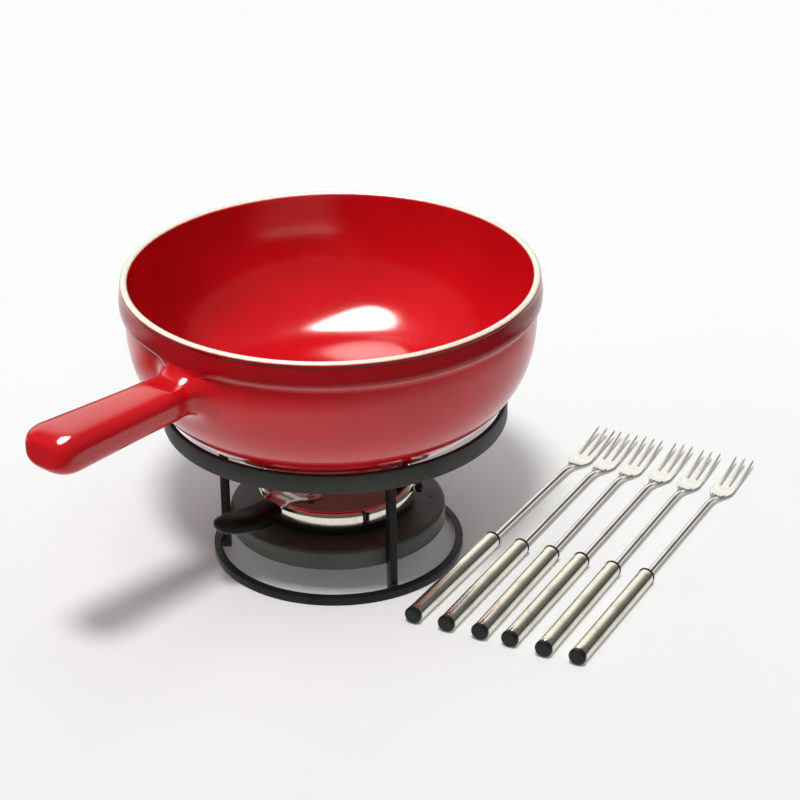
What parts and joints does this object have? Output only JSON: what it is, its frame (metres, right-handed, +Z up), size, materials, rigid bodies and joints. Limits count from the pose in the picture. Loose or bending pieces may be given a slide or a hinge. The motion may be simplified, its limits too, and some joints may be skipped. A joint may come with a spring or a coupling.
{
  "type": "fondue set",
  "caption": "Glazed fondue pot with a side handle on a round ring stand, with a gel burner on its tray and long-handled forks laid beside it.",
  "frame": {"origin": "bottom centre of the whole set's box, on the table plane; the stand's axis is at x = -0.049111, y = 0.019348", "axes": "+X across the set from the pot's handle side to the forks (longest extent), +Y away from the viewer, +Z up (shortest extent)"},
  "size_m": [0.4234, 0.3126, 0.1796],
  "materials": {
    "pot_glaze": "gloss red glaze, cream on the rim where it is rubbed back",
    "stand_paint": "satin black paint on steel bar",
    "tray_paint": "matt black paint on pressed steel",
    "burner_enamel": "black enamel",
    "polished_steel": "polished stainless steel",
    "satin_steel": "satin stainless steel",
    "fork_steel": "polished stainless steel with fine drawing lines",
    "handle_steel": "stainless steel brushed along its length",
    "gauze_steel": "woven wire gauze",
    "wick_wool": "mineral wool pad",
    "black_plastic": "satin black moulded plastic"
  },
  "bodies": {
    "stand": {"stand_upper_ring": "stand_paint", "stand_lower_ring": "stand_paint", "stand_leg_left": "stand_paint", "stand_leg_front_right": "stand_paint", "stand_leg_rear": "stand_paint", "burner_tray": "tray_paint"},
    "pot": {"pot": "pot_glaze"},
    "burner": {"burner_base": "burner_enamel", "fuel_cup": "satin_steel", "wick_pad": "wick_wool", "wire_gauze": "gauze_steel", "burner_band": "polished_steel", "cover_plate": "polished_steel", "handle_strap": "polished_steel", "handle_rivet_a": "polished_steel", "handle_rivet_b": "polished_steel", "handle_grip": "black_plastic"},
    "regulator": {"regulator_disc": "satin_steel", "regulator_stem": "satin_steel", "regulator_knob": "black_plastic"},
    "fork_1": {"fork_1_prongs": "fork_steel", "fork_1_handle": "handle_steel", "fork_1_cap": "black_plastic", "fork_1_collar": "black_plastic"},
    "fork_2": {"fork_2_prongs": "fork_steel", "fork_2_handle": "handle_steel", "fork_2_cap": "black_plastic", "fork_2_collar": "black_plastic"},
    "fork_3": {"fork_3_prongs": "fork_steel", "fork_3_handle": "handle_steel", "fork_3_cap": "black_plastic", "fork_3_collar": "black_plastic"},
    "fork_4": {"fork_4_prongs": "fork_steel", "fork_4_handle": "handle_steel", "fork_4_cap": "black_plastic", "fork_4_collar": "black_plastic"},
    "fork_5": {"fork_5_prongs": "fork_steel", "fork_5_handle": "handle_steel", "fork_5_cap": "black_plastic", "fork_5_collar": "black_plastic"},
    "fork_6": {"fork_6_prongs": "fork_steel", "fork_6_handle": "handle_steel", "fork_6_cap": "black_plastic", "fork_6_collar": "black_plastic"}
  },
  "joints": [
    {"name": "pot_lift", "type": "slide", "parent": "stand", "child": "pot", "axis": [0, 0, 1], "range_m": [0, 0.15]},
    {"name": "burner_slide", "type": "slide", "parent": "stand", "child": "burner", "axis": [-0.5, -0.866, 0], "range_m": [0, 0.16]},
    {"name": "regulator_turn", "type": "hinge", "parent": "burner", "child": "regulator", "pos_m": [-0.04911, 0.01935, 0.0432], "axis": [0, 0, 1], "range_deg": [0, 30]},
    {"name": "fork_1_slide", "type": "slide", "parent": "stand", "child": "fork_1", "axis": [-0.4863, -0.8738, 0], "range_m": [0, 0.15]},
    {"name": "fork_2_slide", "type": "slide", "parent": "stand", "child": "fork_2", "axis": [-0.4679, -0.8838, 0], "range_m": [0, 0.15]},
    {"name": "fork_3_slide", "type": "slide", "parent": "stand", "child": "fork_3", "axis": [-0.454, -0.891, 0], "range_m": [0, 0.15]},
    {"name": "fork_4_slide", "type": "slide", "parent": "stand", "child": "fork_4", "axis": [-0.4602, -0.8878, 0], "range_m": [0, 0.15]},
    {"name": "fork_5_slide", "type": "slide", "parent": "stand", "child": "fork_5", "axis": [-0.4524, -0.8918, 0], "range_m": [0, 0.15]},
    {"name": "fork_6_slide", "type": "slide", "parent": "stand", "child": "fork_6", "axis": [-0.4571, -0.8894, 0], "range_m": [0, 0.15]}
  ]
}
